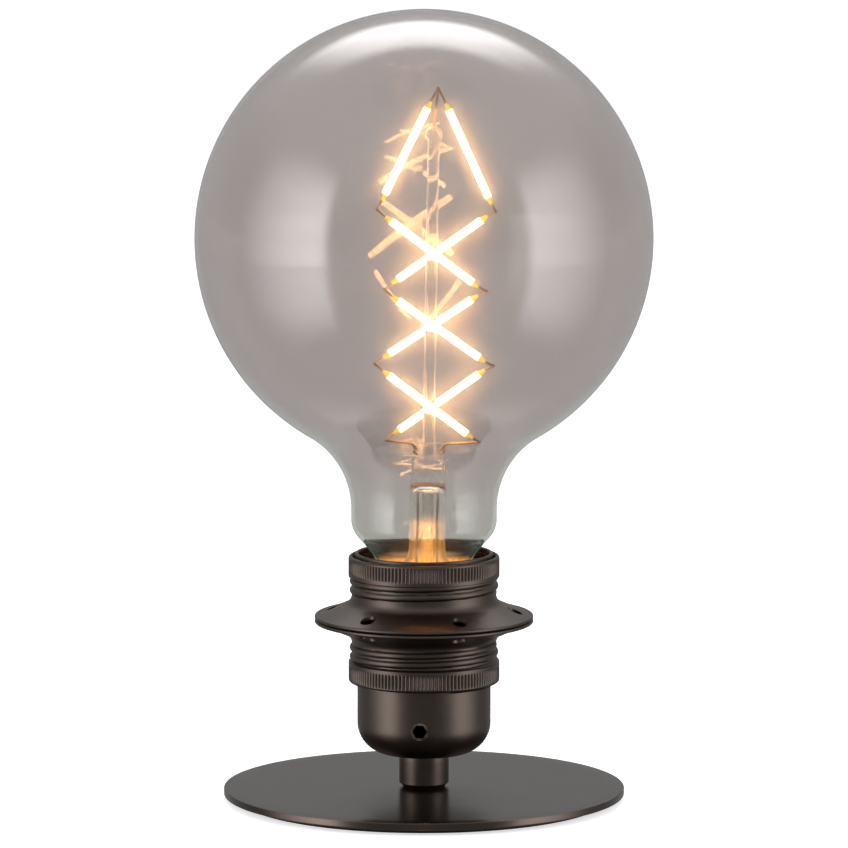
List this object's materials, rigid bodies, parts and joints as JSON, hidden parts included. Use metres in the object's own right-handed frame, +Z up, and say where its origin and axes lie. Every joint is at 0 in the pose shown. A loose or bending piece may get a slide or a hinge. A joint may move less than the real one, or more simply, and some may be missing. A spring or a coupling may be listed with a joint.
{
  "type": "bare bulb table lamp",
  "caption": "Table lamp: a clear globe bulb with straight crossed filaments in a metal lampholder with two flanged shade rings, on a spacer and a thin round base.",
  "frame": {"origin": "centre of the underside of the base pad", "axes": "+Z up along the axis of the lampholder and the bulb; the lock screw in the dome faces -Y and the cord inlet faces +Y"},
  "size_m": [0.125, 0.125, 0.2173],
  "materials": {
    "bronze_metal": "dark bronze, satin, slightly pearly",
    "black_steel": "blackened, satin",
    "zinc_steel": "zinc plated",
    "felt": "dense felt",
    "black_plastic": "moulded, matt",
    "porcelain": "glazed",
    "contact_brass": "pressed, bright",
    "cap_metal": "nickel plated, satin",
    "black_glass": "opaque black glass",
    "solder": "dull solder",
    "cement": "basing cement",
    "circuit_board": "lacquered board",
    "smoke_glass": "clear, lightly smoke tinted",
    "clear_glass": "clear",
    "phosphor": "yellow phosphor coat, lit",
    "nickel_wire": "drawn wire"
  },
  "bodies": {
    "holder": {"base_pad": "felt", "base_disc": "bronze_metal", "spacer": "bronze_metal", "base_screw": "black_steel", "lock_washer": "zinc_steel", "lock_nut": "zinc_steel", "dome_cap": "bronze_metal", "lock_screw": "black_steel", "cord_bushing": "black_plastic", "earth_washer": "zinc_steel", "earth_screw": "zinc_steel", "threaded_skirt": "bronze_metal", "holder_insulator": "porcelain", "left_terminal": "contact_brass", "right_terminal": "contact_brass", "left_terminal_screw": "zinc_steel", "right_terminal_screw": "zinc_steel", "contact_shell": "contact_brass", "shell_post": "contact_brass", "tongue_foot": "contact_brass", "tongue_rivet": "contact_brass"},
    "upper_ring": {"upper_shade_ring": "bronze_metal"},
    "lower_ring": {"lower_shade_ring": "bronze_metal"},
    "tongue": {"contact_tongue": "contact_brass"},
    "bulb_carrier": {"cap_insulator": "black_glass", "cap_contact": "solder"},
    "bulb": {"screw_cap": "cap_metal", "cap_cement": "cement", "driver_board": "circuit_board", "driver_capacitor": "black_plastic", "driver_rectifier": "black_plastic", "centre_lead": "nickel_wire", "shell_lead": "nickel_wire", "bulb_globe": "smoke_glass", "bulb_stem": "clear_glass", "exhaust_tube": "clear_glass", "support_rod": "clear_glass", "filament_1": "phosphor", "filament_2": "phosphor", "filament_3": "phosphor", "filament_4": "phosphor", "filament_5": "phosphor", "filament_6": "phosphor", "filament_7": "phosphor", "filament_8": "phosphor", "filament_links": "nickel_wire", "top_wire": "nickel_wire", "left_lead_wire": "nickel_wire", "right_lead_wire": "nickel_wire", "stem_leads": "nickel_wire"}
  },
  "joints": [
    {"name": "bulb_lift", "type": "slide", "parent": "holder", "child": "bulb_carrier", "axis": [0, 0, 1], "range_m": [0, 0.0146]},
    {"name": "bulb_turn", "type": "hinge", "parent": "bulb_carrier", "child": "bulb", "pos_m": [0, 0, 0.0393], "axis": [0, 0, 1], "range_deg": [0, 1440]},
    {"name": "upper_ring_travel", "type": "slide", "parent": "holder", "child": "upper_ring", "axis": [0, 0, 1], "range_m": [0, 0.005]},
    {"name": "lower_ring_travel", "type": "slide", "parent": "holder", "child": "lower_ring", "axis": [0, 0, 1], "range_m": [-0.005, 0]},
    {"name": "tongue_dip", "type": "hinge", "parent": "holder", "child": "tongue", "pos_m": [-0.0036, 0, 0.0369], "axis": [0, 1, 0], "range_deg": [0, 6], "stiffness_Nm_per_rad": 0.05}
  ],
  "couplings": [
    {"joint": "bulb_lift", "follows": "bulb_turn", "m_per_rad": 0.0005775}
  ]
}
